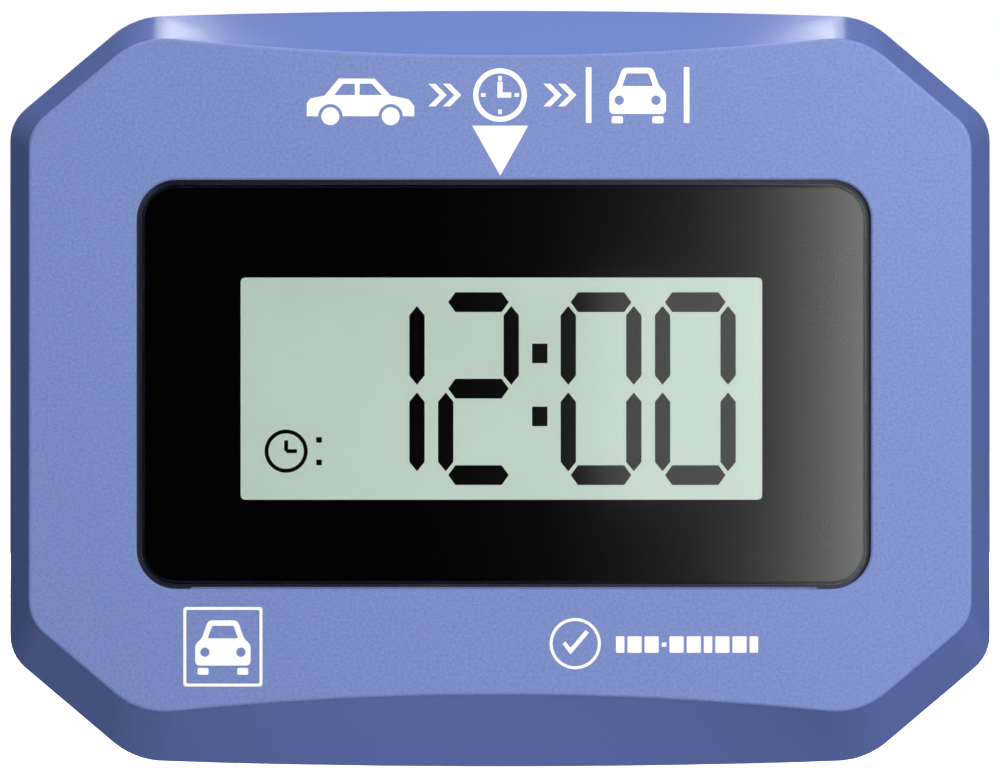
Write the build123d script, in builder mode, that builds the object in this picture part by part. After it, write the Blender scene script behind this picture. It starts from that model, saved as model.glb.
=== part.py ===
from build123d import *

import os

# An electronic parking disc: a flat casing with a large clock display, held against a windscreen.
# Millimetres. X runs to the right as seen from the front, Y runs from the face into the depth, Z is up.
# The origin is the centre of the face, which is the plane that meets the glass.

# ---------------------------------------------------------------- casing
FACE_HALF_WIDTH = 50.0
FACE_SHOULDER_HEIGHT = 36.0  # half the face's height, where its cut corners meet the long edges
FACE_CUT = (11.8, 10.0)  # a cut corner's run along the long edge and along the side
FACE_BOW = 2.2  # how far the face's long edges bow inwards
FLARE = (2.5, 3.85, 4.55)  # how far the rim stands out past the face: sides, shoulders, middle
RIM_CUT = (13.3, 11.25)
RIM_DROP = 1.45  # the rim's centre lies this far below the face's
BACK_DRAFT = 3.0  # how far the outline draws in from the rim to the back
RIM_DEPTH = 12.0
CASING_DEPTH = 21.0
SIDE_RADIUS = 4.5
SHOULDER_RADIUS = 8.5
FACE_EDGE_RADIUS = 0.3
BACK_EDGE_RADIUS = 1.6
SEAM_CHAMFER = 0.2
WALL = 2.0
FACE_WALL = 3.0
TONGUE_HEIGHT = 1.2
TONGUE_THICKNESS = 1.0
FIT_GAP = 0.15  # between pieces that are put together and stay

# ---------------------------------------------------------------- window
LENS_CENTRE = (0.4, -1.0)
LENS_LEDGE = (6.25, 3.0)  # the seat around the window, left and right, above and below
LENS_POCKET_RADIUS = 4.2
LENS_POCKET_EDGE = 0.2
LENS_GAP = 0.4
LENS_THICKNESS = 1.5
LENS_BEVEL = 0.45
LENS_CHANNEL = 0.6  # the depth of the groove that runs round the seat, outside the lens
LENS_REST = (5.75, 0.2)  # the rib on the pocket's lower wall: its inset from the ends, and its height
FILM_GAP = 0.02  # between a clear sheet and the film behind it
MASK_THICKNESS = 0.08
MASK_MARGIN = 0.1
ADHESIVE_THICKNESS = 0.15
ADHESIVE_MARGIN = 0.5

# ---------------------------------------------------------------- display
DISPLAY_CENTRE = (0.15, -1.45)
DISPLAY_OPENING = (55.4, 23.6)
DISPLAY_OPENING_RADIUS = 0.5
GLASS = (62.0, 34.0)
GLASS_THICKNESS = 1.1
CONTACT_LEDGE = 2.5  # how far the front glass reaches past the rear glass, above and below
POLARISER_MARGIN = (1.2, 3.0)
POLARISER_THICKNESS = 0.2
REFLECTOR_THICKNESS = 0.3
CELL_GAP = 0.1  # the liquid crystal between the glasses
SEAL_WIDTH = 0.8
HOLDER_WALL = 1.3
HOLDER_LIP = 0.8
HOLDER_LIP_THICKNESS = 0.4
HOLDER_GAP = 0.1
HOLDER_OPENING_GAP = 0.3
HOLDER_FLANGE = (0.9, 1.2)  # width beyond the frame, thickness
STRIP_WIDTH = 1.8  # the elastomer contact strips
STRIP_MARGIN = 2.0
PAD_MARGIN = (5.0, 2.5)  # the foam behind the display

# ---------------------------------------------------------------- digits
DIGIT_HEIGHT = 20.5
DIGIT_WIDTH = 8.6
DIGIT_PITCH = 10.03
COLON_PITCH = 13.04  # from the digit before the colon to the one after it
LAST_DIGIT = 20.63  # its centre, from the display's centre
SEGMENT_WIDTH = 1.63  # of an upright segment
SEGMENT_HEIGHT = 2.1  # of a level segment
UPRIGHT_LENGTH = 8.4
UPRIGHT_TIP = 1.0
LEVEL_LENGTH = 6.45
LEVEL_TIP = 0.76
COLON_DOT = (1.64, 2.08)
COLON_SPREAD = 6.7
COLON_RISE = 0.4
TIME_SHOWN = "12:00"
SEGMENTS_OF = {"0": "abcdef", "1": "bc", "2": "abged"}
ICON_CENTRE = (-22.9, -6.65)  # from the display's centre
ICON_RADIUS = 2.3
ICON_STROKE = 0.42
ICON_HAND = 1.15
ICON_DOT = 0.6
ICON_DOT_OFFSET = 3.5
ICON_DOT_SPREAD = 2.4

# ---------------------------------------------------------------- circuit board
BOARD_EDGE = (3.0, 3.5)  # from a board screw to the edges
BOARD_DEPTH = 7.2
BOARD_THICKNESS = 1.6
BOARD_CORNER = 2.0
BOARD_SCREW_PASS = (2.7, 0.2)  # from the display holder's flange to a board screw
BOARD_BOSS_RADIUS = 2.4
BOARD_SCREW_RADIUS = 0.95
BOARD_SCREW_LENGTH = 5.0
BOARD_HEAD = (1.9, 1.3)  # radius, thickness
BOARD_SCREW_CLEARANCE = 0.15
CHIP = (7.0, 1.0, 0.1)  # side, thickness, stand-off
CHIP_CENTRE = (-18.0, -3.5)
CHIP_LEADS = 8  # on each side
CHIP_LEAD = (1.0, 0.3, 0.15)  # length, width, thickness
CHIP_LEAD_PITCH = 0.8
CRYSTAL = (5.0, 3.2, 0.9)
CRYSTAL_CENTRE = (-8.0, -3.5)
SENSOR = (4.5, 3.5, 1.8)
SENSOR_CENTRE = (26.0, -8.0)
CAPACITOR = (2.0, 1.25, 0.9)
CAPACITOR_PITCH = 4.0
CAPACITOR_ROW = (3, 2)
CAPACITOR_CENTRE = (5.0, -4.5)
RESISTOR = (1.6, 0.8, 0.5)
RESISTOR_PITCH = 2.6
RESISTOR_ROW = (4, 2)
RESISTOR_CENTRE = (-28.0, -12.0)

# ---------------------------------------------------------------- casing screws
SCREW_INSET = (11.0, 13.85)  # from the rim's side and from its shoulders
SCREW_RADIUS = 1.25
SCREW_LENGTH = 10.5
SCREW_HEAD = (2.3, 1.8)
SCREW_SEAT_DEPTH = 17.0
SCREW_BOSS_RADIUS = 2.9
SCREW_BOSS_WALL = 1.2  # around a screw head's counterbore
SCREW_CLEARANCE = 0.2
SCREW_HEAD_CLEARANCE = 0.35
THREAD_GAP = 0.03
PILOT_FLOOR = 1.2  # what is left under a pilot hole
RECESS_ARM = (0.55, 0.75)  # a cross recess's arm: width, share of the head's radius

# ---------------------------------------------------------------- batteries
COIN_RADIUS = 12.25
COIN_THICKNESS = 5.0
COIN_STEP = 0.45
COIN_SHOULDER = 2.05
COIN_EDGE = 0.45
COIN_RISE = 17.6  # of its centre
COIN_CLEARANCE = 0.35
CUP_WALL = 1.2
CUP_SPACING = 1.4  # the wall between the two cups
CUP_FLOOR_DEPTH = 12.4
CONTACT_ROOM = 1.0  # between the cup's floor and the cell
CONTACT_THICKNESS = 0.25
CONTACT_WIDTH = 4.6
CONTACT_GAP = 0.05
CONTACT_FOOT = 8.0  # half the length of a negative contact
CONTACT_HUMP = (5.0, 2.5)  # half lengths of the hump's foot and top
CONTACT_SLOT_GAP = 0.15
CONTACT_ARC_HEIGHT = 3.6
CONTACT_LEG = 2.0
PLUS_MARK = (5.0, 0.8, 0.1)

# ---------------------------------------------------------------- battery door
DOOR_MARGIN = (2.6, 1.6)  # past the cups, to the sides and below
DOOR_THICKNESS = 1.8
DOOR_SIDE_GAP = 0.2
DOOR_SLIDE_GAP = 0.1
DOOR_LEDGE = 1.4
DOOR_TOP_ROOM = 60.0  # how high the door's blank is drawn before the casing trims it
TONGUE_WIDTH = 1.2
TONGUE_DEPTH = 0.8
GRIP = (22.0, 9.0)
GRIP_RISE = 6.5  # its centre above the door's bottom
GRIP_DEPTH = 0.7
GRIP_RIBS = 4
GRIP_RIB = 0.7

# ---------------------------------------------------------------- buttons
BUTTON_CENTRE = (12.5, -17.0)
BUTTON = (13.0, 8.0)
BUTTON_CORNER = 2.5
BUTTON_GAP = 0.3
BUTTON_SUNK = 0.1  # below the back, so that the casing rests flat
BUTTON_EDGE = 0.4
BUTTON_FLANGE = 1.0
BUTTON_FLANGE_THICKNESS = 0.8
BUTTON_FLANGE_GAP = 0.2
BUTTON_STEM_RADIUS = 1.6
DISH_MARGIN = (4.5, 3.5)  # around the buttons
DISH_DEPTH = 0.6
ARROW = (4.6, 3.0, 0.25)
SWITCH = 6.0
SWITCH_HEIGHT = 3.7
SWITCH_FLOOR = 0.6
PLUNGER_RADIUS = 1.7
PLUNGER_TOP = 5.0  # above the board
PLUNGER_ROOM = 0.5  # under the plunger, for its travel
PLUNGER_GAP = 0.15

# ---------------------------------------------------------------- label
LABEL = (44.0, 7.0)
LABEL_CENTRE = (0.0, -31.0)
LABEL_CORNER = 1.0
LABEL_THICKNESS = 0.15
LABEL_RECESS = 0.25
LABEL_GAP = 0.25

# ---------------------------------------------------------------- worked out
FACE_SHOULDER_HALF = FACE_HALF_WIDTH - FACE_CUT[0]
FACE_SIDE_HALF = FACE_SHOULDER_HEIGHT - FACE_CUT[1]
FACE_MIDDLE_HEIGHT = FACE_SHOULDER_HEIGHT - FACE_BOW
RIM_HALF_WIDTH = FACE_HALF_WIDTH + FLARE[0]
RIM_SHOULDER_HEIGHT = FACE_SHOULDER_HEIGHT + FLARE[1]
RIM_MIDDLE_HEIGHT = FACE_SHOULDER_HEIGHT + FLARE[2]
RIM_SHOULDER_HALF = RIM_HALF_WIDTH - RIM_CUT[0]
RIM_SIDE_HALF = RIM_SHOULDER_HEIGHT - RIM_CUT[1]
SCREW_OFFSET = (RIM_HALF_WIDTH - SCREW_INSET[0], RIM_SHOULDER_HEIGHT - SCREW_INSET[1])

MASK_DEPTH = LENS_THICKNESS + FILM_GAP
ADHESIVE_DEPTH = MASK_DEPTH + MASK_THICKNESS
POCKET_DEPTH = ADHESIVE_DEPTH + ADHESIVE_THICKNESS
HOLDER_DEPTH = POCKET_DEPTH + 0.05
GLASS_DEPTH = HOLDER_DEPTH + HOLDER_LIP_THICKNESS
POLARISER_DEPTH = GLASS_DEPTH - POLARISER_THICKNESS
CRYSTAL_DEPTH = GLASS_DEPTH + GLASS_THICKNESS
REAR_GLASS_DEPTH = CRYSTAL_DEPTH + CELL_GAP
REFLECTOR_DEPTH = REAR_GLASS_DEPTH + GLASS_THICKNESS
PAD_DEPTH = REFLECTOR_DEPTH + REFLECTOR_THICKNESS


def grown(size, by):
    """A rectangle's sides, each moved out by an amount, or by one amount for each direction."""
    margins = by if isinstance(by, tuple) else (by, by)
    return tuple(side + 2 * margin for side, margin in zip(size, margins))


def shrunk(size, by):
    return grown(size, tuple(-m for m in by) if isinstance(by, tuple) else -by)


REAR_GLASS = shrunk(GLASS, (0, CONTACT_LEDGE))
POLARISER = shrunk(GLASS, POLARISER_MARGIN)
PAD = shrunk(GLASS, (PAD_MARGIN[0], PAD_MARGIN[1] + CONTACT_LEDGE))
STRIP = (GLASS[0] - 2 * STRIP_MARGIN, STRIP_WIDTH)
STRIP_OFFSET = (GLASS[1] - CONTACT_LEDGE) / 2
HOLDER_INSIDE = grown(GLASS, HOLDER_GAP)
HOLDER = grown(HOLDER_INSIDE, HOLDER_WALL)
HOLDER_OPENING = shrunk(GLASS, HOLDER_LIP)
FLANGE = grown(HOLDER, HOLDER_FLANGE[0])
WINDOW = grown(HOLDER, HOLDER_OPENING_GAP)
LENS_POCKET = grown(WINDOW, LENS_LEDGE)
LENS = shrunk(LENS_POCKET, LENS_GAP)
LENS_RADIUS = LENS_POCKET_RADIUS - LENS_GAP
MASK = shrunk(LENS, MASK_MARGIN)
BOARD_SCREWS = grown(FLANGE, BOARD_SCREW_PASS)  # the screws stand at this rectangle's corners
BOARD = grown(BOARD_SCREWS, BOARD_EDGE)
BOARD_BACK = BOARD_DEPTH + BOARD_THICKNESS
INNER_BACK = CASING_DEPTH - WALL
TONGUE_INSET = WALL + FIT_GAP
TONGUE_ROOT = RIM_DEPTH + WALL
SCREW_BORE = SCREW_HEAD[0] + SCREW_HEAD_CLEARANCE
DOOR_DEPTH = CASING_DEPTH - DOOR_THICKNESS
LEDGE_DEPTH = DOOR_DEPTH - DOOR_SLIDE_GAP
CUP_RADIUS = COIN_RADIUS + COIN_CLEARANCE
COIN_CENTRE = (CUP_RADIUS + CUP_SPACING / 2, COIN_RISE)
COIN_DEPTH = CUP_FLOOR_DEPTH + CONTACT_ROOM
DOOR_WIDTH = 2 * (COIN_CENTRE[0] + CUP_RADIUS + DOOR_MARGIN[0])
DOOR_BOTTOM = COIN_RISE - CUP_RADIUS - DOOR_MARGIN[1]
DOOR_SLOT = (DOOR_WIDTH + 2 * DOOR_SIDE_GAP, DOOR_BOTTOM - DOOR_SIDE_GAP)
GROOVE_SLOT = DOOR_SLOT[0] + 2 * TONGUE_WIDTH
GROOVE_HEIGHT = TONGUE_DEPTH + 2 * DOOR_SLIDE_GAP
DECK = (GROOVE_SLOT + 2 * DOOR_LEDGE, DOOR_SLOT[1] - DOOR_LEDGE)
CUP_FLOOR_FRONT = CUP_FLOOR_DEPTH - CUP_WALL
COIN_BACK = COIN_DEPTH + COIN_THICKNESS
DISH = grown((2 * BUTTON_CENTRE[0] + BUTTON[0], BUTTON[1]), DISH_MARGIN)
DISH_FLOOR = CASING_DEPTH - DISH_DEPTH
BUTTON_TOP = CASING_DEPTH - BUTTON_SUNK
FLANGE_DEPTH = INNER_BACK - BUTTON_FLANGE_GAP - BUTTON_FLANGE_THICKNESS
SWITCH_BACK = BOARD_BACK + SWITCH_HEIGHT
PLUNGER_FOOT = BOARD_BACK + SWITCH_FLOOR + PLUNGER_ROOM
PLUNGER_DEPTH = BOARD_BACK + PLUNGER_TOP


def plane_at(depth, x=0.0, z=0.0):
    """A drawing plane at a depth behind the face, with X to the right and Z up."""
    return Plane(origin=(x, depth, z), x_dir=(1, 0, 0), z_dir=(0, -1, 0))


def deeper(amount):
    """The signed length that extrudes a sketch of plane_at away from the face."""
    return -amount


def between(first, last, share):
    return first + (last - first) * share


def spread(vertex):
    return round(abs(vertex.X), 3)


def outline_at(depth, inset=0.0):
    """The casing's outline at a depth, drawn in by an inset, with cut corners and bowed long edges."""
    share = min(depth / RIM_DEPTH, 1.0)
    inset += BACK_DRAFT * max(depth - RIM_DEPTH, 0.0) / (CASING_DEPTH - RIM_DEPTH)
    width = between(FACE_HALF_WIDTH, RIM_HALF_WIDTH, share)
    side = between(FACE_SIDE_HALF, RIM_SIDE_HALF, share)
    shoulder = between(FACE_SHOULDER_HALF, RIM_SHOULDER_HALF, share)
    height = between(FACE_SHOULDER_HEIGHT, RIM_SHOULDER_HEIGHT, share)
    middle = between(FACE_MIDDLE_HEIGHT, RIM_MIDDLE_HEIGHT, share)
    with BuildSketch(plane_at(depth, z=-RIM_DROP * share)) as section:
        with BuildLine():
            Line((width, -side), (width, side))
            Line((width, side), (shoulder, height))
            ThreePointArc((shoulder, height), (0, middle), (-shoulder, height))
            Line((-shoulder, height), (-width, side))
            Line((-width, side), (-width, -side))
            Line((-width, -side), (-shoulder, -height))
            ThreePointArc((-shoulder, -height), (0, -middle), (shoulder, -height))
            Line((shoulder, -height), (width, -side))
        make_face()
        if inset:
            offset(amount=-inset, kind=Kind.INTERSECTION)
        fillet(section.vertices().group_by(spread)[-1], SIDE_RADIUS)
        fillet(section.vertices().group_by(spread)[0], SHOULDER_RADIUS)
    return section.sketch


def corners_of(offset_xz, centre):
    """The four corners of a rectangle given by its half sizes."""
    return [(centre[0] + x * offset_xz[0], centre[1] + z * offset_xz[1]) for z in (1, -1) for x in (-1, 1)]


SCREW_PLACES = corners_of(SCREW_OFFSET, (0, -RIM_DROP))
BOARD_SCREW_PLACES = corners_of([side / 2 for side in BOARD_SCREWS], DISPLAY_CENTRE)
COIN_PLACES = [(x * COIN_CENTRE[0], COIN_CENTRE[1]) for x in (-1, 1)]
BUTTON_PLACES = [(x * BUTTON_CENTRE[0], BUTTON_CENTRE[1]) for x in (-1, 1)]


def written(part, name):
    """Labels a finished piece and writes it."""
    part.label = name
    export_step(part, f"parts/{name}.step")


def upward(bottom, width, depth):
    """The sketch of a slot that runs up from a height and out over the casing's top edge."""
    with BuildSketch(plane_at(depth, z=bottom + DOOR_TOP_ROOM / 2)) as slot:
        Rectangle(width, DOOR_TOP_ROOM)
    return slot.sketch


os.makedirs("parts", exist_ok=True)

# ---------------------------------------------------------------- front bezel
with BuildPart() as front_bezel:
    loft([outline_at(0), outline_at(RIM_DEPTH)], ruled=True)
    fillet(front_bezel.edges().group_by(Axis.Y)[0], FACE_EDGE_RADIUS)
    chamfer(front_bezel.faces().sort_by(Axis.Y)[-1].edges(), SEAM_CHAMFER)
    cavity = [outline_at(FACE_WALL, WALL), outline_at(RIM_DEPTH, WALL)]
    loft(cavity, ruled=True, mode=Mode.SUBTRACT)
    with BuildSketch(plane_at(0, *LENS_CENTRE)):
        RectangleRounded(*LENS_POCKET, LENS_POCKET_RADIUS)
    extrude(amount=deeper(POCKET_DEPTH), mode=Mode.SUBTRACT)
    chamfer(front_bezel.faces().sort_by(Axis.Y)[0].inner_wires()[0].edges(), LENS_POCKET_EDGE)
    with BuildSketch(plane_at(POCKET_DEPTH, *LENS_CENTRE)):
        RectangleRounded(*LENS_POCKET, LENS_POCKET_RADIUS)
        RectangleRounded(*LENS, LENS_RADIUS, mode=Mode.SUBTRACT)
    extrude(amount=deeper(LENS_CHANNEL), mode=Mode.SUBTRACT)
    with BuildSketch(plane_at(LENS_POCKET_EDGE, LENS_CENTRE[0], LENS_CENTRE[1] - LENS_POCKET[1] / 2)):
        Rectangle(LENS_POCKET[0] - 2 * LENS_REST[0], LENS_REST[1], align=(Align.CENTER, Align.MIN))
    extrude(amount=deeper(POCKET_DEPTH + LENS_CHANNEL - LENS_POCKET_EDGE))
    with BuildSketch(plane_at(0, *DISPLAY_CENTRE)):
        Rectangle(*WINDOW)
    extrude(amount=deeper(FACE_WALL), mode=Mode.SUBTRACT)
    with BuildSketch(plane_at(FACE_WALL)):
        with Locations(*SCREW_PLACES):
            Circle(SCREW_BOSS_RADIUS)
    extrude(amount=deeper(RIM_DEPTH - FACE_WALL))
    with BuildSketch(plane_at(FACE_WALL)):
        with Locations(*BOARD_SCREW_PLACES):
            Circle(BOARD_BOSS_RADIUS)
    extrude(amount=deeper(BOARD_DEPTH - FACE_WALL))
    with BuildSketch(plane_at(RIM_DEPTH)):
        with Locations(*SCREW_PLACES):
            Circle(SCREW_RADIUS + THREAD_GAP)
    extrude(amount=RIM_DEPTH - FACE_WALL - PILOT_FLOOR, mode=Mode.SUBTRACT)
    with BuildSketch(plane_at(BOARD_DEPTH)):
        with Locations(*BOARD_SCREW_PLACES):
            Circle(BOARD_SCREW_RADIUS + THREAD_GAP)
    extrude(amount=BOARD_DEPTH - FACE_WALL, mode=Mode.SUBTRACT)
written(front_bezel.part, "front_bezel")

# ---------------------------------------------------------------- back half, before it is cut
with BuildPart() as back_form:
    loft([outline_at(RIM_DEPTH), outline_at(CASING_DEPTH)], ruled=True)
    fillet(back_form.faces().sort_by(Axis.Y)[-1].edges(), BACK_EDGE_RADIUS)
    chamfer(back_form.faces().sort_by(Axis.Y)[0].edges(), SEAM_CHAMFER)

with BuildPart() as deck:  # the plate that the battery door slides on
    add(back_form.part)
    extrude(upward(DECK[1], DECK[0], LEDGE_DEPTH - WALL), amount=deeper(WALL), mode=Mode.INTERSECT)

# ---------------------------------------------------------------- rear housing
with BuildPart() as rear_housing:
    add(back_form.part)
    tongue = [outline_at(RIM_DEPTH - TONGUE_HEIGHT, TONGUE_INSET), outline_at(RIM_DEPTH, TONGUE_INSET)]
    loft(tongue, ruled=True)
    throat = [
        outline_at(RIM_DEPTH - TONGUE_HEIGHT, TONGUE_INSET + TONGUE_THICKNESS),
        outline_at(RIM_DEPTH, TONGUE_INSET + TONGUE_THICKNESS),
        outline_at(TONGUE_ROOT, TONGUE_INSET + TONGUE_THICKNESS),
    ]
    loft(throat, ruled=True, mode=Mode.SUBTRACT)
    cavity = [outline_at(TONGUE_ROOT, WALL), outline_at(INNER_BACK, WALL)]
    loft(cavity, ruled=True, mode=Mode.SUBTRACT)
    add(deck.part)
    extrude(upward(DOOR_SLOT[1], DOOR_SLOT[0], LEDGE_DEPTH), amount=deeper(CASING_DEPTH), mode=Mode.SUBTRACT)
    extrude(upward(DOOR_SLOT[1], GROOVE_SLOT, LEDGE_DEPTH), amount=deeper(GROOVE_HEIGHT), mode=Mode.SUBTRACT)
    with BuildSketch(plane_at(CUP_FLOOR_FRONT)):
        with Locations(*COIN_PLACES):
            Circle(CUP_RADIUS + CUP_WALL)
    extrude(amount=deeper(LEDGE_DEPTH - CUP_FLOOR_FRONT))
    with BuildSketch(plane_at(CUP_FLOOR_DEPTH)):
        with Locations(*COIN_PLACES):
            Circle(CUP_RADIUS)
    extrude(amount=deeper(LEDGE_DEPTH - CUP_FLOOR_DEPTH), mode=Mode.SUBTRACT)
    with BuildSketch(plane_at(CUP_FLOOR_FRONT)):
        slot_size = (CONTACT_THICKNESS + 2 * CONTACT_SLOT_GAP, CONTACT_LEG + 2 * CONTACT_SLOT_GAP)
        for side, (x, z) in zip((-1, 1), COIN_PLACES):
            for reach in (-CONTACT_FOOT, COIN_RADIUS + CONTACT_GAP):
                with Locations((x + side * (reach + CONTACT_THICKNESS / 2), z)):
                    Rectangle(*slot_size)
    extrude(amount=deeper(CUP_WALL), mode=Mode.SUBTRACT)
    with BuildSketch(plane_at(RIM_DEPTH)):
        with Locations(*SCREW_PLACES):
            Circle(SCREW_BORE + SCREW_BOSS_WALL)
    extrude(amount=deeper(INNER_BACK - RIM_DEPTH))
    with BuildSketch(plane_at(RIM_DEPTH)):
        with Locations(*SCREW_PLACES):
            Circle(SCREW_RADIUS + SCREW_CLEARANCE)
    extrude(amount=deeper(CASING_DEPTH - RIM_DEPTH), mode=Mode.SUBTRACT)
    with BuildSketch(plane_at(SCREW_SEAT_DEPTH)):
        with Locations(*SCREW_PLACES):
            Circle(SCREW_BORE)
    extrude(amount=deeper(CASING_DEPTH - SCREW_SEAT_DEPTH), mode=Mode.SUBTRACT)
    with BuildSketch(plane_at(DISH_FLOOR, 0, BUTTON_CENTRE[1])):
        RectangleRounded(*DISH, DISH[1] / 2 - 0.1)
    extrude(amount=deeper(DISH_DEPTH), mode=Mode.SUBTRACT)
    with BuildSketch(plane_at(INNER_BACK)):
        with Locations(*BUTTON_PLACES):
            RectangleRounded(*grown(BUTTON, BUTTON_GAP), BUTTON_CORNER + BUTTON_GAP)
    extrude(amount=deeper(WALL), mode=Mode.SUBTRACT)
    with BuildSketch(plane_at(CASING_DEPTH - LABEL_RECESS, *LABEL_CENTRE)):
        RectangleRounded(*grown(LABEL, LABEL_GAP), LABEL_CORNER + LABEL_GAP)
    extrude(amount=deeper(LABEL_RECESS), mode=Mode.SUBTRACT)
written(rear_housing.part, "rear_housing")

# ---------------------------------------------------------------- battery door
with BuildPart() as battery_door:
    extrude(upward(DOOR_BOTTOM, DOOR_WIDTH, DOOR_DEPTH), amount=deeper(DOOR_THICKNESS))
    extrude(upward(DOOR_BOTTOM, DOOR_WIDTH + 2 * TONGUE_WIDTH, DOOR_DEPTH), amount=deeper(TONGUE_DEPTH))
    add(back_form.part, mode=Mode.INTERSECT)
    with BuildSketch(plane_at(CASING_DEPTH - GRIP_DEPTH, 0, DOOR_BOTTOM + GRIP_RISE)):
        RectangleRounded(*GRIP, GRIP[1] / 2 - 0.1)
        with GridLocations(0, GRIP[1] / GRIP_RIBS, 1, GRIP_RIBS):
            Rectangle(GRIP[0] - GRIP[1], GRIP_RIB, mode=Mode.SUBTRACT)
    extrude(amount=deeper(GRIP_DEPTH), mode=Mode.SUBTRACT)
written(battery_door.part, "battery_door")

# ---------------------------------------------------------------- window
with BuildPart() as display_lens:
    with BuildSketch(plane_at(0, *LENS_CENTRE)):
        RectangleRounded(*LENS, LENS_RADIUS)
    extrude(amount=deeper(LENS_THICKNESS))
    chamfer(display_lens.faces().sort_by(Axis.Y)[0].edges(), LENS_BEVEL)
written(display_lens.part, "display_lens")

with BuildPart() as lens_mask:
    with BuildSketch(plane_at(MASK_DEPTH, *LENS_CENTRE)):
        RectangleRounded(*MASK, LENS_RADIUS - MASK_MARGIN)
    extrude(amount=deeper(MASK_THICKNESS))
    with BuildSketch(plane_at(MASK_DEPTH, *DISPLAY_CENTRE)):
        RectangleRounded(*DISPLAY_OPENING, DISPLAY_OPENING_RADIUS)
    extrude(amount=deeper(MASK_THICKNESS), mode=Mode.SUBTRACT)
written(lens_mask.part, "lens_mask")

with BuildPart() as lens_adhesive:
    with BuildSketch(plane_at(ADHESIVE_DEPTH, *LENS_CENTRE)):
        RectangleRounded(*MASK, LENS_RADIUS - MASK_MARGIN)
    extrude(amount=deeper(ADHESIVE_THICKNESS))
    with BuildSketch(plane_at(ADHESIVE_DEPTH, *DISPLAY_CENTRE)):
        Rectangle(*grown(WINDOW, ADHESIVE_MARGIN))
    extrude(amount=deeper(ADHESIVE_THICKNESS), mode=Mode.SUBTRACT)
written(lens_adhesive.part, "lens_adhesive")


# ---------------------------------------------------------------- display
def plate(depth, size, thickness):
    """A private plate centred on the display."""
    with BuildPart(mode=Mode.PRIVATE) as layer:
        with BuildSketch(plane_at(depth, *DISPLAY_CENTRE)):
            Rectangle(*size)
        extrude(amount=deeper(thickness))
    return layer.part


written(plate(POLARISER_DEPTH, POLARISER, POLARISER_THICKNESS), "lcd_front_polariser")
written(plate(GLASS_DEPTH, GLASS, GLASS_THICKNESS), "lcd_front_glass")
written(plate(REAR_GLASS_DEPTH, REAR_GLASS, GLASS_THICKNESS), "lcd_rear_glass")
written(plate(REFLECTOR_DEPTH, POLARISER, REFLECTOR_THICKNESS), "lcd_reflector")
written(plate(PAD_DEPTH, PAD, BOARD_DEPTH - PAD_DEPTH), "display_pad")

with BuildPart() as lcd_seal:
    with BuildSketch(plane_at(CRYSTAL_DEPTH, *DISPLAY_CENTRE)):
        Rectangle(*REAR_GLASS)
        Rectangle(*shrunk(REAR_GLASS, SEAL_WIDTH), mode=Mode.SUBTRACT)
    extrude(amount=deeper(CELL_GAP))
written(lcd_seal.part, "lcd_seal")

UPRIGHT = (DIGIT_WIDTH - SEGMENT_WIDTH) / 2
UPRIGHT_RISE = (DIGIT_HEIGHT - SEGMENT_HEIGHT) / 4
LEVEL_RISE = (DIGIT_HEIGHT - SEGMENT_HEIGHT) / 2
SEGMENT_PLACES = {
    "a": (0, LEVEL_RISE),
    "b": (UPRIGHT, UPRIGHT_RISE),
    "c": (UPRIGHT, -UPRIGHT_RISE),
    "d": (0, -LEVEL_RISE),
    "e": (-UPRIGHT, -UPRIGHT_RISE),
    "f": (-UPRIGHT, UPRIGHT_RISE),
    "g": (0, 0),
}


def segment(name):
    """One bar of a digit, pointed at both ends: a, d and g lie level, the others stand upright."""
    level = name in "adg"
    length, tip = (LEVEL_LENGTH, LEVEL_TIP) if level else (UPRIGHT_LENGTH, UPRIGHT_TIP)
    half = (SEGMENT_HEIGHT if level else SEGMENT_WIDTH) / 2
    end, neck = length / 2, length / 2 - tip
    points = [(-end, 0), (-neck, half), (neck, half), (end, 0), (neck, -half), (-neck, -half)]
    Polygon(*(points if level else [(y, x) for x, y in points]), align=None)


digits = TIME_SHOWN.replace(":", "")
digit_places = [LAST_DIGIT - DIGIT_PITCH * (3 - i) - (COLON_PITCH - DIGIT_PITCH) * (i < 2) for i in range(4)]
with BuildPart() as lcd_segments:
    with BuildSketch(plane_at(CRYSTAL_DEPTH + FILM_GAP, *DISPLAY_CENTRE)):
        for digit, x in zip(digits, digit_places):
            for name in SEGMENTS_OF[digit]:
                with Locations((x + SEGMENT_PLACES[name][0], SEGMENT_PLACES[name][1])):
                    segment(name)
        with Locations(((digit_places[1] + digit_places[2]) / 2, COLON_RISE)):
            with GridLocations(0, COLON_SPREAD, 1, 2):
                Rectangle(*COLON_DOT)
        with Locations(ICON_CENTRE):
            Circle(ICON_RADIUS)
            Circle(ICON_RADIUS - ICON_STROKE, mode=Mode.SUBTRACT)
            Rectangle(ICON_STROKE, ICON_HAND, align=(Align.CENTER, Align.MIN))
            Rectangle(ICON_HAND, ICON_STROKE, align=(Align.MIN, Align.CENTER))
        with Locations((ICON_CENTRE[0] + ICON_DOT_OFFSET, ICON_CENTRE[1])):
            with GridLocations(0, ICON_DOT_SPREAD, 1, 2):
                Rectangle(ICON_DOT, ICON_DOT)
    extrude(amount=deeper(CELL_GAP - 2 * FILM_GAP))
written(lcd_segments.part, "lcd_segments")

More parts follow.
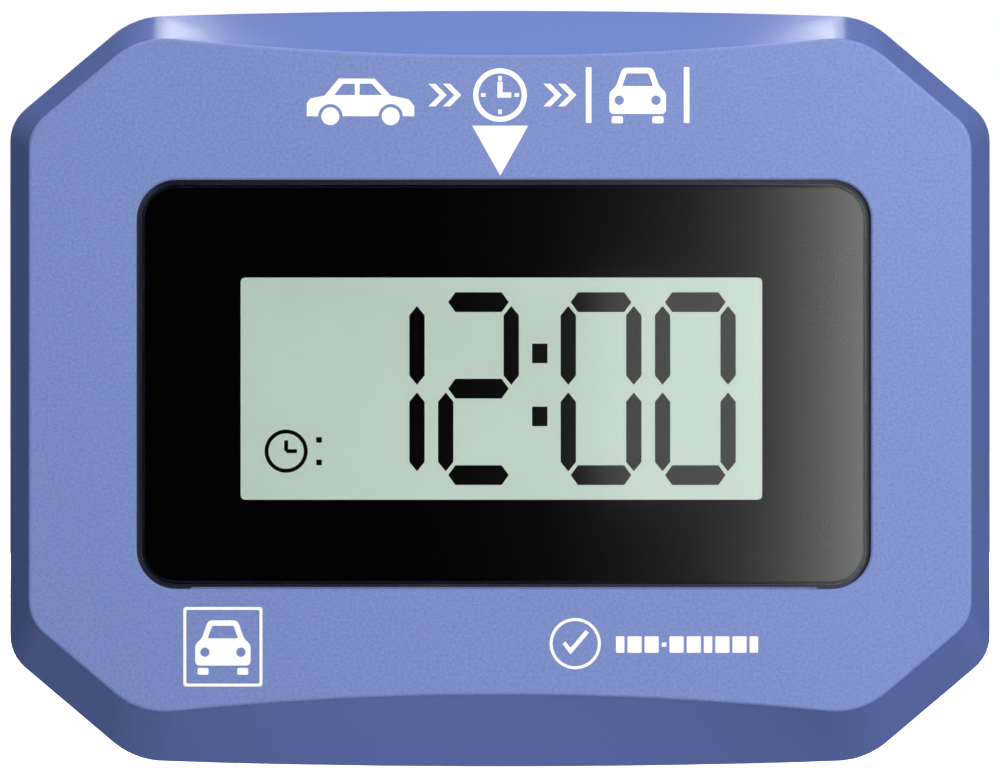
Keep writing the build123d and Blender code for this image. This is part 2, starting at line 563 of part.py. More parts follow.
with BuildPart() as lcd_holder:
    with BuildSketch(plane_at(HOLDER_DEPTH, *DISPLAY_CENTRE)):
        Rectangle(*HOLDER)
    extrude(amount=deeper(BOARD_DEPTH - HOLDER_DEPTH))
    with BuildSketch(plane_at(FACE_WALL, *DISPLAY_CENTRE)):
        Rectangle(*FLANGE)
    extrude(amount=deeper(HOLDER_FLANGE[1]))
    with BuildSketch(plane_at(HOLDER_DEPTH, *DISPLAY_CENTRE)):
        Rectangle(*HOLDER_OPENING)
    extrude(amount=deeper(HOLDER_LIP_THICKNESS), mode=Mode.SUBTRACT)
    with BuildSketch(plane_at(GLASS_DEPTH, *DISPLAY_CENTRE)):
        Rectangle(*HOLDER_INSIDE)
    extrude(amount=deeper(BOARD_DEPTH - GLASS_DEPTH), mode=Mode.SUBTRACT)
written(lcd_holder.part, "lcd_holder")

with BuildPart() as zebra_connectors:
    with BuildSketch(plane_at(CRYSTAL_DEPTH, *DISPLAY_CENTRE)):
        with GridLocations(0, 2 * STRIP_OFFSET, 1, 2):
            Rectangle(*STRIP)
    extrude(amount=deeper(BOARD_DEPTH - CRYSTAL_DEPTH))
written(zebra_connectors.part, "zebra_connectors")

# ---------------------------------------------------------------- circuit board
with BuildPart() as main_board:
    with BuildSketch(plane_at(BOARD_DEPTH, *DISPLAY_CENTRE)):
        RectangleRounded(*BOARD, BOARD_CORNER)
        with GridLocations(*BOARD_SCREWS, 2, 2):
            Circle(BOARD_SCREW_RADIUS + BOARD_SCREW_CLEARANCE, mode=Mode.SUBTRACT)
    extrude(amount=deeper(BOARD_THICKNESS))
written(main_board.part, "main_board")

with BuildPart() as microcontroller:
    with BuildSketch(plane_at(BOARD_BACK + CHIP[2], *CHIP_CENTRE)):
        Rectangle(CHIP[0], CHIP[0])
    extrude(amount=deeper(CHIP[1]))
    chamfer(microcontroller.faces().sort_by(Axis.Y)[-1].edges(), CHIP[1] / 5)
    with BuildSketch(plane_at(BOARD_BACK, *CHIP_CENTRE)):
        with GridLocations(CHIP[0] + CHIP_LEAD[0], CHIP_LEAD_PITCH, 2, CHIP_LEADS):
            Rectangle(CHIP_LEAD[0], CHIP_LEAD[1])
        with GridLocations(CHIP_LEAD_PITCH, CHIP[0] + CHIP_LEAD[0], CHIP_LEADS, 2):
            Rectangle(CHIP_LEAD[1], CHIP_LEAD[0])
    extrude(amount=deeper(CHIP_LEAD[2] + CHIP[2]))
written(microcontroller.part, "microcontroller")

with BuildPart() as quartz_crystal:
    with BuildSketch(plane_at(BOARD_BACK, *CRYSTAL_CENTRE)):
        RectangleRounded(CRYSTAL[0], CRYSTAL[1], CRYSTAL[1] / 8)
    extrude(amount=deeper(CRYSTAL[2]))
    fillet(quartz_crystal.faces().sort_by(Axis.Y)[-1].edges(), CRYSTAL[2] / 6)
written(quartz_crystal.part, "quartz_crystal")

with BuildPart() as motion_sensor:
    with BuildSketch(plane_at(BOARD_BACK, *SENSOR_CENTRE)):
        Rectangle(SENSOR[0], SENSOR[1])
    extrude(amount=deeper(SENSOR[2]))
    fillet(motion_sensor.faces().sort_by(Axis.Y)[-1].edges(), SENSOR[2] / 6)
written(motion_sensor.part, "motion_sensor")


def rows(size, centre, pitch, count):
    """Private small blocks on the board's back, in rows."""
    with BuildPart(mode=Mode.PRIVATE) as chips:
        with BuildSketch(plane_at(BOARD_BACK, *centre)):
            with GridLocations(pitch, pitch, *count):
                Rectangle(size[0], size[1])
        extrude(amount=deeper(size[2]))
    return chips.part


written(rows(CAPACITOR, CAPACITOR_CENTRE, CAPACITOR_PITCH, CAPACITOR_ROW), "smd_capacitors")
written(rows(RESISTOR, RESISTOR_CENTRE, RESISTOR_PITCH, RESISTOR_ROW), "smd_resistors")

with BuildPart() as switch_bodies:
    with BuildSketch(plane_at(BOARD_BACK)):
        with Locations(*BUTTON_PLACES):
            Rectangle(SWITCH, SWITCH)
    extrude(amount=deeper(SWITCH_HEIGHT))
    with BuildSketch(plane_at(BOARD_BACK + SWITCH_FLOOR)):
        with Locations(*BUTTON_PLACES):
            Circle(PLUNGER_RADIUS + PLUNGER_GAP)
    extrude(amount=deeper(SWITCH_HEIGHT - SWITCH_FLOOR), mode=Mode.SUBTRACT)
written(switch_bodies.part, "switch_bodies")

for name, place in zip(("hour_switch_plunger", "minute_switch_plunger"), BUTTON_PLACES):
    with BuildPart() as plunger:
        with BuildSketch(plane_at(PLUNGER_FOOT, *place)):
            Circle(PLUNGER_RADIUS)
        extrude(amount=deeper(PLUNGER_DEPTH - PLUNGER_FOOT))
    written(plunger.part, name)

# ---------------------------------------------------------------- buttons
for name, place, turn in zip(("hour_button", "minute_button"), BUTTON_PLACES, (90, 0)):
    with BuildPart() as button:
        with BuildSketch(plane_at(FLANGE_DEPTH, *place)):
            RectangleRounded(*grown(BUTTON, BUTTON_FLANGE), BUTTON_CORNER + BUTTON_FLANGE)
        extrude(amount=deeper(BUTTON_FLANGE_THICKNESS))
        with BuildSketch(plane_at(FLANGE_DEPTH, *place)):
            RectangleRounded(*BUTTON, BUTTON_CORNER)
        extrude(amount=deeper(BUTTON_TOP - FLANGE_DEPTH))
        fillet(button.faces().sort_by(Axis.Y)[-1].edges(), BUTTON_EDGE)
        with BuildSketch(plane_at(PLUNGER_DEPTH, *place)):
            Circle(BUTTON_STEM_RADIUS)
        extrude(amount=deeper(FLANGE_DEPTH - PLUNGER_DEPTH))
        with BuildSketch(plane_at(BUTTON_TOP - ARROW[2], *place)):
            Triangle(a=ARROW[0], b=ARROW[0], c=ARROW[0], rotation=turn - 90)
        extrude(amount=deeper(ARROW[2]), mode=Mode.SUBTRACT)
    written(button.part, name)

# ---------------------------------------------------------------- batteries
for name, place in zip(("coin_cell_left", "coin_cell_right"), COIN_PLACES):
    with BuildPart() as coin:
        with BuildSketch(plane_at(COIN_DEPTH, *place)):
            Circle(COIN_RADIUS - COIN_SHOULDER)
        extrude(amount=deeper(COIN_STEP))
        with BuildSketch(plane_at(COIN_DEPTH + COIN_STEP, *place)):
            Circle(COIN_RADIUS)
        extrude(amount=deeper(COIN_THICKNESS - COIN_STEP))
        rims = coin.edges().filter_by(GeomType.CIRCLE).group_by(SortBy.RADIUS)[-1]
        fillet(rims, COIN_EDGE)
        with BuildSketch(plane_at(COIN_BACK - PLUS_MARK[2], *place)):
            Rectangle(PLUS_MARK[0], PLUS_MARK[1])
            Rectangle(PLUS_MARK[1], PLUS_MARK[0])
        extrude(amount=deeper(PLUS_MARK[2]), mode=Mode.SUBTRACT)
    written(coin.part, name)

with BuildPart() as battery_negative_contacts:
    for side, (x, z) in zip((-1, 1), COIN_PLACES):
        foot, top = CUP_FLOOR_DEPTH, COIN_DEPTH - CONTACT_GAP - CONTACT_THICKNESS
        with BuildSketch(Plane(origin=(x, 0, z), x_dir=(side, 0, 0), z_dir=(0, 0, side))):
            line = [
                (-CONTACT_FOOT, foot), (-CONTACT_HUMP[0], foot), (-CONTACT_HUMP[1], top),
                (CONTACT_HUMP[1], top), (CONTACT_HUMP[0], foot), (CONTACT_FOOT, foot),
            ]
            Polygon(*line, *[(u, v + CONTACT_THICKNESS) for u, v in reversed(line)], align=None)
        extrude(amount=CONTACT_WIDTH / 2, both=True)
        with BuildSketch(plane_at(BOARD_BACK, x - side * (CONTACT_FOOT - CONTACT_THICKNESS / 2), z)):
            Rectangle(CONTACT_THICKNESS, CONTACT_LEG)
        extrude(amount=deeper(foot - BOARD_BACK))
written(battery_negative_contacts.part, "battery_negative_contacts")

with BuildPart() as battery_positive_contacts:
    for side, (x, z) in zip((-1, 1), COIN_PLACES):
        inner = COIN_RADIUS + CONTACT_GAP
        with BuildSketch(plane_at(CUP_FLOOR_DEPTH, x, z)):
            Circle(inner + CONTACT_THICKNESS)
            Circle(inner, mode=Mode.SUBTRACT)
            with Locations((side * COIN_RADIUS, 0)):
                Rectangle(COIN_RADIUS, CONTACT_WIDTH, mode=Mode.INTERSECT)
        extrude(amount=deeper(CONTACT_ARC_HEIGHT))
        with BuildSketch(plane_at(BOARD_BACK, x + side * (inner + CONTACT_THICKNESS / 2), z)):
            Rectangle(CONTACT_THICKNESS, CONTACT_LEG)
        extrude(amount=deeper(CUP_FLOOR_DEPTH - BOARD_BACK))
written(battery_positive_contacts.part, "battery_positive_contacts")


# ---------------------------------------------------------------- screws and label
def screws(places, seat, radius, length, head):
    """Private pan-head screws, driven from the back, with cross recesses."""
    with BuildPart(mode=Mode.PRIVATE) as group:
        with BuildSketch(plane_at(seat - length)):
            with Locations(*places):
                Circle(radius)
        extrude(amount=deeper(length))
        with BuildSketch(plane_at(seat)):
            with Locations(*places):
                Circle(head[0])
        extrude(amount=deeper(head[1]))
        fillet(group.faces().group_by(Axis.Y)[-1].edges(), head[1] / 3)
        chamfer(group.faces().group_by(Axis.Y)[0].edges(), radius / 3)
        with BuildSketch(plane_at(seat + head[1] / 3)):
            with Locations(*places):
                Rectangle(2 * RECESS_ARM[1] * head[0], RECESS_ARM[0])
                Rectangle(RECESS_ARM[0], 2 * RECESS_ARM[1] * head[0])
        extrude(amount=deeper(head[1]), mode=Mode.SUBTRACT)
    return group.part


written(
    screws(BOARD_SCREW_PLACES, BOARD_BACK, BOARD_SCREW_RADIUS, BOARD_SCREW_LENGTH, BOARD_HEAD),
    "board_screws",
)
written(
    screws(SCREW_PLACES, SCREW_SEAT_DEPTH, SCREW_RADIUS, SCREW_LENGTH, SCREW_HEAD),
    "housing_screws",
)

with BuildPart() as rating_label:
    with BuildSketch(plane_at(CASING_DEPTH - LABEL_RECESS, *LABEL_CENTRE)):
        RectangleRounded(*LABEL, LABEL_CORNER)
    extrude(amount=deeper(LABEL_THICKNESS))
written(rating_label.part, "rating_label")
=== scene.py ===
import math

import bmesh
import bpy
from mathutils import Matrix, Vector


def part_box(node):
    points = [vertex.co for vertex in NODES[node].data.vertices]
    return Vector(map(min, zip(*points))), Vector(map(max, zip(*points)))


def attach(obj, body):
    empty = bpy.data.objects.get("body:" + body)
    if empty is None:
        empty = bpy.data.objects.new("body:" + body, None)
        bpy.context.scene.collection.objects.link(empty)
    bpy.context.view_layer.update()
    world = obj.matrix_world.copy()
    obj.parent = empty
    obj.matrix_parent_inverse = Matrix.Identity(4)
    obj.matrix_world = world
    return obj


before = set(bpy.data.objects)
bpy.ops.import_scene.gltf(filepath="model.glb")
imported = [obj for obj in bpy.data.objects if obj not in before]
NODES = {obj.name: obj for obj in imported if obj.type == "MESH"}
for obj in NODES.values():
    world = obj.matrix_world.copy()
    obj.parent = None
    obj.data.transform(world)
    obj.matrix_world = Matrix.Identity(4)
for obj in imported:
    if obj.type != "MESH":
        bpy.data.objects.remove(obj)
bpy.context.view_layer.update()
MM = 0.001
WHITE = (1.0, 1.0, 1.0, 1.0)


# ------------------------------------------------------------------ places
def middle(node):
    low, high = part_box(node)
    return (low + high) / 2


HOUSING_LOW, HOUSING_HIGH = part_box("rear_housing")
RIM_CENTRE_Z = middle("front_bezel").z
FLOOR_Z = min(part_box("front_bezel")[0].z, HOUSING_LOW.z)
BACK_MM = HOUSING_HIGH.y / MM


# ------------------------------------------------------------------ materials
def shifted(colour, factor):
    """A colour made darker or lighter by a factor."""
    return tuple(min(1.0, c * factor) for c in colour[:3]) + (1.0,)


def grey(level):
    return (level, level, level, 1.0)


class Shading:
    """A node material with a Principled shader, built up by short calls."""

    def __init__(self, name):
        self.material = bpy.data.materials.new(name)
        self.material.use_nodes = True
        self.tree = self.material.node_tree
        self.nodes = self.tree.nodes
        self.shader = self.nodes["Principled BSDF"]
        self.output = self.nodes["Material Output"]
        self.place = self.add("ShaderNodeTexCoord").outputs["Object"]

    def add(self, kind, **settings):
        made = self.nodes.new(kind)
        for key, value in settings.items():
            setattr(made, key, value)
        return made

    def link(self, source, target):
        self.tree.links.new(source, target)

    def fixed(self, **values):
        for key, value in values.items():
            self.shader.inputs[key.replace("_", " ")].default_value = value

    def axes(self):
        """The X, Y and Z sockets of the place in the object, in metres."""
        split = self.add("ShaderNodeSeparateXYZ")
        self.link(self.place, split.inputs[0])
        return split.outputs

    def stretched(self, scale):
        mapping = self.add("ShaderNodeMapping")
        mapping.inputs["Scale"].default_value = scale
        self.link(self.place, mapping.inputs["Vector"])
        return mapping.outputs["Vector"]

    def noise(self, size_mm, detail=2.0, roughness=0.5, vector=None):
        texture = self.add("ShaderNodeTexNoise")
        texture.inputs["Scale"].default_value = 1.0 / (size_mm * MM)
        texture.inputs["Detail"].default_value = detail
        texture.inputs["Roughness"].default_value = roughness
        self.link(vector or self.place, texture.inputs["Vector"])
        return texture.outputs["Fac"]

    def ranged(self, value, low, high, first, last, smooth=False):
        node = self.add("ShaderNodeMapRange")
        if smooth:
            node.interpolation_type = "SMOOTHSTEP"
        for key, number in zip(("From Min", "From Max", "To Min", "To Max"), (low, high, first, last)):
            node.inputs[key].default_value = number
        self.link(value, node.inputs["Value"])
        return node.outputs["Result"]

    def spread(self, noise, first, last):
        """A noise's usual range stretched from one number to another."""
        return self.ranged(noise, 0.3, 0.7, first, last)

    def given(self, socket, value):
        if isinstance(value, (int, float, tuple)):
            socket.default_value = value
        else:
            self.link(value, socket)

    def maths(self, operation, *values):
        node = self.add("ShaderNodeMath", operation=operation)
        for socket, value in zip(node.inputs, values):
            self.given(socket, value)
        return node.outputs[0]

    def mixed(self, factor, first, last, blend="MIX"):
        node = self.add("ShaderNodeMix", data_type="RGBA", blend_type=blend)
        self.given(node.inputs["Factor"], factor)
        self.given(node.inputs[6], first)
        self.given(node.inputs[7], last)
        return node.outputs[2]

    def multiplied(self, first, second):
        return self.mixed(1.0, first, second, "MULTIPLY")

    def coloured(self, source):
        self.link(source, self.shader.inputs["Base Color"])

    def roughened(self, source):
        self.link(source, self.shader.inputs["Roughness"])

    def bumped(self, height, depth_mm):
        bump = self.add("ShaderNodeBump")
        bump.inputs["Strength"].default_value = 1.0
        bump.inputs["Distance"].default_value = depth_mm * MM
        self.link(height, bump.inputs["Height"])
        self.link(bump.outputs["Normal"], self.shader.inputs["Normal"])


def moulded(
    name, colour, roughness=0.5, spot=0.04, spot_mm=0.3, patch=0.02, patch_mm=18.0, bump_mm=0.004, **fixed
):
    """Moulded plastic: fine grain, faint larger patches, uneven gloss."""
    look = Shading(name)
    look.fixed(**fixed)
    grain = look.noise(spot_mm, 3.0, 0.6)
    patches = look.noise(patch_mm, 2.0)
    fine = look.mixed(look.spread(grain, 0, 1), shifted(colour, 1 - spot), shifted(colour, 1 + spot))
    tint = look.mixed(look.spread(patches, 0, 1), grey(1 - patch), WHITE)
    look.coloured(look.multiplied(fine, tint))
    look.roughened(look.spread(patches, roughness - 0.04, roughness + 0.04))
    if bump_mm:
        look.bumped(grain, bump_mm)
    return look.material


BLUE = (0.153, 0.2145, 0.491)
DEEP_BLUE = (0.162, 0.230, 0.605)
FLANK_GRAIN = 0.25
# Painted shade: the colour inside the groove round the lens is darkened by this factor, in place of the
# shadow in the recess.
GROOVE_PAINTED_SHADE = 0.16
GROOVE_REACH_MM = 1.2


def casing(name, pocket=None):
    """The casing's plastic: grained on the front and back faces, smoother and deeper on the flanks.
    The groove round what fills the pocket gets painted shade: its colour is darkened by position."""
    look = Shading(name)
    look.fixed(IOR=1.5, Specular_IOR_Level=0.5)
    place = look.axes()
    front = look.ranged(place["Y"], 0.05 * MM, 0.5 * MM, 1.0, FLANK_GRAIN, smooth=True)
    back = look.ranged(place["Y"], (BACK_MM - 0.5) * MM, (BACK_MM - 0.2) * MM, FLANK_GRAIN, 1.0)
    face = look.maths("MAXIMUM", front, back)
    grain = look.noise(0.34, 4.0, 0.65)
    fleck = look.noise(0.16, 1.0)
    patches = look.noise(30.0, 2.0)
    level = look.maths("ADD", look.maths("MULTIPLY", grain, 0.7), look.maths("MULTIPLY", fleck, 0.3))
    shade = look.mixed(look.ranged(level, 0.36, 0.64, 0, 1), shifted(BLUE, 0.86), shifted(BLUE, 1.14))
    plain = look.mixed(look.spread(patches, 0, 1), shifted(DEEP_BLUE, 0.985), shifted(DEEP_BLUE, 1.015))
    tone = look.mixed(face, plain, shade)
    # Painted shade: inside the groove round the pocket's contents the colour turns dark by position, standing
    # in for the shadow there.
    if pocket:
        low, high = pocket
        painted_groove_shade = look.ranged(place["Y"], 0.12 * MM, 0.3 * MM, 0.0, 1.0)
        for axis, first, last in (("X", low.x, high.x), ("Z", low.z, high.z)):
            away = look.maths("ABSOLUTE", look.maths("SUBTRACT", place[axis], (first + last) / 2))
            reach = (last - first) / 2 + GROOVE_REACH_MM * MM
            painted_groove_shade = look.maths("MULTIPLY", painted_groove_shade, look.maths("LESS_THAN", away, reach))
        tone = look.mixed(painted_groove_shade, tone, shifted(DEEP_BLUE, GROOVE_PAINTED_SHADE))
    look.coloured(tone)
    rough = look.ranged(face, FLANK_GRAIN, 1.0, 0.22, 0.55)
    look.roughened(look.maths("ADD", rough, look.spread(patches, -0.02, 0.02)))
    look.bumped(look.maths("MULTIPLY", level, face), 0.03)
    return look.material


METALLIC = 0.75
METAL_BUMP_MM = 0.002


def metal(name, colour, roughness, stretch=(1, 1, 1), size_mm=0.5):
    """Metal with a brushed or rolled grain, finer along the direction that is stretched."""
    look = Shading(name)
    look.fixed(Metallic=METALLIC)
    streaks = look.noise(size_mm, 3.0, 0.6, look.stretched(stretch))
    cloud = look.noise(6.0, 2.0)
    look.coloured(look.mixed(look.spread(cloud, 0, 1), shifted(colour, 0.9), shifted(colour, 1.06)))
    look.roughened(look.spread(streaks, roughness - 0.07, roughness + 0.08))
    look.bumped(streaks, METAL_BUMP_MM)
    return look.material


def turned_metal(name, colour, roughness, centre):
    """Metal with the fine rings of turning or pressing about a centre."""
    look = Shading(name)
    look.fixed(Metallic=METALLIC)
    offset = look.add("ShaderNodeVectorMath", operation="SUBTRACT")
    look.link(look.place, offset.inputs[0])
    offset.inputs[1].default_value = centre
    flat = look.add("ShaderNodeVectorMath", operation="MULTIPLY")
    look.link(offset.outputs[0], flat.inputs[0])
    flat.inputs[1].default_value = (1, 0, 1)
    radius = look.add("ShaderNodeVectorMath", operation="LENGTH")
    look.link(flat.outputs[0], radius.inputs[0])
    rings = look.add("ShaderNodeTexNoise", noise_dimensions="1D")
    rings.inputs["Scale"].default_value = 1.0
    rings.inputs["Detail"].default_value = 3.0
    look.link(look.maths("MULTIPLY", radius.outputs["Value"], 6000.0), rings.inputs["W"])
    stain = look.noise(5.0, 3.0)
    stained = look.ranged(stain, 0.35, 0.7, 0, 1)
    look.coloured(look.mixed(stained, shifted(colour, 0.88), shifted(colour, 1.05)))
    look.roughened(look.spread(rings.outputs["Fac"], roughness - 0.08, roughness + 0.1))
    look.bumped(rings.outputs["Fac"], METAL_BUMP_MM)
    return look.material


SMEAR_MM = 20.0


def clear(name, tint, gloss_roughness, ior):
    """A clear sheet: light goes straight through, tinted, and both sides mirror more at a grazing angle."""
    look = Shading(name)
    look.nodes.remove(look.shader)
    smear = look.noise(SMEAR_MM, 3.0)
    through = look.add("ShaderNodeBsdfTransparent")
    tinted = look.mixed(look.spread(smear, 0, 1), shifted(tint, 0.985), shifted(tint, 1.0))
    look.link(tinted, through.inputs["Color"])
    gloss = look.add("ShaderNodeBsdfGlossy")
    smeared = look.spread(smear, gloss_roughness * 0.95, gloss_roughness * 1.05)
    look.link(smeared, gloss.inputs["Roughness"])
    head_on = ((ior - 1) / (ior + 1)) ** 2
    weight = look.add("ShaderNodeLayerWeight")
    weight.inputs["Blend"].default_value = 0.5
    grazing = look.maths("POWER", weight.outputs["Facing"], 5.0)
    mirrored_part = look.ranged(grazing, 0.0, 1.0, head_on, 1.0)
    mix = look.add("ShaderNodeMixShader")
    for source, socket in zip((mirrored_part, through.outputs[0], gloss.outputs[0]), mix.inputs):
        look.link(source, socket)
    look.link(mix.outputs[0], look.output.inputs["Surface"])
    return look.material


def painted_glow_film(name, first, last, left_mm, right_mm):
    """The display's ground: a pale film with painted light, glowing evenly in its own colour, and painted
    shade that makes it a little dimmer to the left.
    """
    look = Shading(name)
    tone = look.mixed(look.ranged(look.axes()["X"], left_mm * MM, right_mm * MM, 0, 1), first, last)
    level = look.mixed(look.spread(look.noise(0.25, 2.0), 0, 1), grey(0.985), WHITE)
    both = look.multiplied(tone, level)
    look.coloured(both)
    # Painted light: the film's colour is also emitted, so it glows though it is no lamp.
    look.link(both, look.shader.inputs["Emission Color"])
    look.fixed(Emission_Strength=1.0, Roughness=0.7)
    return look.material


def dress(material, *names):
    for name in names:
        slots = NODES[name].data.materials
        if slots:
            slots[0] = material
            while len(slots) > 1:
                slots.pop()
        else:
            slots.append(material)


# Painted light: the display's ground glows in these colours from left to right; the dimmer left is painted
# shade.
PAINTED_GLOW_LEFT = (0.635, 0.755, 0.678, 1.0)
PAINTED_GLOW_RIGHT = (0.73, 0.853, 0.771, 1.0)
ROLLED = (1, 1, 8)
BRUSHED = (1, 1, 12)

dress(casing("casing_face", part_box("display_lens")), "front_bezel")
dress(casing("casing_back"), "rear_housing", "battery_door")
dress(moulded("button_rubbery", (0.36, 0.38, 0.44), 0.55, spot_mm=0.25), "hour_button", "minute_button")

dress(clear("lens_acrylic", (1.0, 1.0, 1.0), 0.05, 1.49), "display_lens")
dress(
    moulded("mask_ink", (0.0008, 0.0008, 0.001), 0.65, spot=0.3, bump_mm=0, Specular_IOR_Level=0.0),
    "lens_mask",
)
dress(moulded("tape_black", (0.01, 0.01, 0.011), 0.7), "lens_adhesive")
dress(clear("polariser_film", (0.97, 0.985, 0.97), 0.03, 1.9), "lcd_front_polariser")
dress(clear("lcd_glass", (0.985, 0.995, 0.99), 0.05, 1.02), "lcd_front_glass")
dress(painted_glow_film("display_ground_painted_glow", PAINTED_GLOW_LEFT, PAINTED_GLOW_RIGHT, -27.0, 10.0), "lcd_rear_glass")
dress(
    moulded("reflector_film", (0.60, 0.70, 0.625), 0.6, spot=0.012, spot_mm=0.12, patch=0.015),
    "lcd_reflector",
)
dress(moulded("segment_dark", (0.006, 0.007, 0.009), 0.5, spot=0.2, bump_mm=0), "lcd_segments")
dress(moulded("seal_epoxy", (0.52, 0.55, 0.5), 0.5), "lcd_seal")
dress(moulded("foam_grey", (0.06, 0.06, 0.065), 0.9, spot=0.3, spot_mm=0.5, bump_mm=0.05), "display_pad")
dress(moulded("holder_white", (0.72, 0.72, 0.7), 0.5), "lcd_holder")
dress(moulded("elastomer_strip", (0.05, 0.05, 0.055), 0.6), "zebra_connectors")

dress(
    moulded("solder_mask", (0.012, 0.1, 0.035), 0.35, spot=0.12, spot_mm=0.8, patch=0.15, patch_mm=5.0),
    "main_board",
)
dress(
    moulded("chip_epoxy", (0.018, 0.018, 0.02), 0.55, spot=0.15),
    "microcontroller", "motion_sensor", "smd_resistors",
)
dress(
    moulded("switch_plastic", (0.02, 0.02, 0.022), 0.45),
    "switch_bodies", "hour_switch_plunger", "minute_switch_plunger",
)
dress(moulded("capacitor_ceramic", (0.36, 0.24, 0.14), 0.5, spot=0.1), "smd_capacitors")
dress(metal("crystal_can", (0.7, 0.69, 0.66), 0.36, ROLLED), "quartz_crystal")
dress(
    metal("contact_nickel", (0.72, 0.69, 0.62), 0.33, ROLLED),
    "battery_negative_contacts", "battery_positive_contacts",
)
dress(metal("screw_zinc", (0.6, 0.61, 0.65), 0.36, size_mm=0.4), "board_screws", "housing_screws")
for side in ("left", "right"):
    cell = f"coin_cell_{side}"
    dress(turned_metal(f"cell_steel_{side}", (0.78, 0.78, 0.77), 0.34, middle(cell)), cell)
dress(metal("label_foil", (0.7, 0.71, 0.74), 0.45, BRUSHED, 0.6), "rating_label")

WHITE_INK = moulded(
    "print_white", (0.95, 0.95, 0.95), 0.5, spot=0.015, spot_mm=0.15, patch=0.01, bump_mm=0.002
)
DARK_INK = moulded("print_dark", (0.02, 0.02, 0.025), 0.5, spot=0.1, bump_mm=0.002)

# ------------------------------------------------------------------ printed marks
INK_THICKNESS = 0.03


def ring_points(centre, radius, count=48, start=0.0, turn=math.tau):
    closed = abs(turn - math.tau) < 1e-6
    steps = count if closed else count - 1
    angles = (start + turn * i / steps for i in range(count))
    return [(centre[0] + radius * math.cos(a), centre[1] + radius * math.sin(a)) for a in angles]


def rounded(points, radius, steps=5):
    """The polygon's corners rounded off, each by an arc that leaves its sides at the given distance."""
    out = []
    for i, corner in enumerate(points):
        here = Vector(corner)
        before, after = Vector(points[i - 1]) - here, Vector(points[(i + 1) % len(points)]) - here
        reach = min(radius, before.length * 0.45, after.length * 0.45)
        first, last = here + before.normalized() * reach, here + after.normalized() * reach
        for k in range(steps + 1):
            t = k / steps
            out.append(tuple(first * (1 - t) ** 2 + here * 2 * t * (1 - t) + last * t * t))
    return out


def box_points(centre, size, radius=0.0):
    x, z, w, h = centre[0], centre[1], size[0] / 2, size[1] / 2
    points = [(x - w, z - h), (x + w, z - h), (x + w, z + h), (x - w, z + h)]
    return rounded(points, radius) if radius else points


def printed(name, shapes, body, depth, material, facing=-1, thickness=INK_THICKNESS):
    """A thin layer of ink on a flat face: outlines in millimetres, each with the holes cut from it."""
    mesh = bpy.data.meshes.new(name)
    made = bmesh.new()
    for outline, *holes in shapes:
        curve = bpy.data.curves.new("outline", "CURVE")
        curve.dimensions = "2D"
        curve.fill_mode = "BOTH"
        for points in (outline, *holes):
            spline = curve.splines.new("POLY")
            spline.points.add(len(points) - 1)
            for point, (x, z) in zip(spline.points, points):
                point.co = (x * MM, z * MM, 0, 1)
            spline.use_cyclic_u = True
        curve.extrude = thickness * MM / 2
        holder = bpy.data.objects.new("outline", curve)
        solid = bpy.data.meshes.new_from_object(holder)
        made.from_mesh(solid)
        bpy.data.objects.remove(holder)
        bpy.data.curves.remove(curve)
        bpy.data.meshes.remove(solid)
    bmesh.ops.remove_doubles(made, verts=made.verts, dist=1e-7)
    for vertex in made.verts:
        x, z, out = vertex.co
        vertex.co = (x, (depth + facing * thickness / 2) * MM + out, z)
    bmesh.ops.recalc_face_normals(made, faces=made.faces)
    made.to_mesh(mesh)
    made.free()
    piece = bpy.data.objects.new(name, mesh)
    bpy.context.scene.collection.objects.link(piece)
    mesh.materials.append(material)
    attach(piece, body)


def moved(points, x, z, scale=1.0):
    return [(x + scale * px, z + scale * pz) for px, pz in points]


def stroke(start, end, width):
    """The outline of a straight line of a given width."""
    a, b = Vector(start), Vector(end)
    side = (b - a).normalized().orthogonal() * width / 2
    return [tuple(p) for p in (a + side, b + side, b - side, a - side)]


def clock_shapes(x, z, radius, line):
    """A clock face: a ring, four marks and two hands."""
    shapes = [(ring_points((x, z), radius), ring_points((x, z), radius - line))]
    for k in range(4):
        a = math.pi / 2 * k
        out, inn = radius - line * 1.5, radius - line * 2.4
        tips = [(x + r * math.cos(a), z + r * math.sin(a)) for r in (inn, out)]
        shapes.append((stroke(*tips, line * 0.7),))
    hands = [
        (x - line / 2, z - line / 2), (x + radius * 0.42, z - line / 2), (x + radius * 0.42, z + line / 2),
        (x + line / 2, z + line / 2), (x + line / 2, z + radius * 0.5), (x - line / 2, z + radius * 0.5),
    ]
    shapes.append((hands,))
    return shapes


def car_side_shapes(x, z):
    """A car from the side: body with wheel arches, two windows, two wheels."""
    body = [
        (-5.6, 0.3), (-5.6, 1.7), (-5.2, 2.2), (-3.7, 2.5), (-2.2, 4.3), (1.6, 4.3), (3.3, 2.5), (5.2, 2.1),
        (5.8, 1.4), (5.8, 0.3), (4.6, 0.3),
        *ring_points((3.3, 0.3), 1.3, 13, 0.0, math.pi)[1:-1],
        (2.0, 0.3), (-1.8, 0.3),
        *ring_points((-3.1, 0.3), 1.3, 13, 0.0, math.pi)[1:-1],
        (-4.4, 0.3),
    ]
    rear = [(-2.7, 2.55), (-1.75, 3.75), (-0.5, 3.75), (-0.5, 2.55)]
    front = [(0.0, 2.55), (0.0, 3.75), (1.3, 3.75), (2.4, 2.55)]
    shapes = [tuple(moved(outline, x, z) for outline in (body, rear, front))]
    for wheel_x in (3.3, -3.1):
        shapes.append((moved(ring_points((wheel_x, 0.3), 0.95), x, z),))
    return shapes


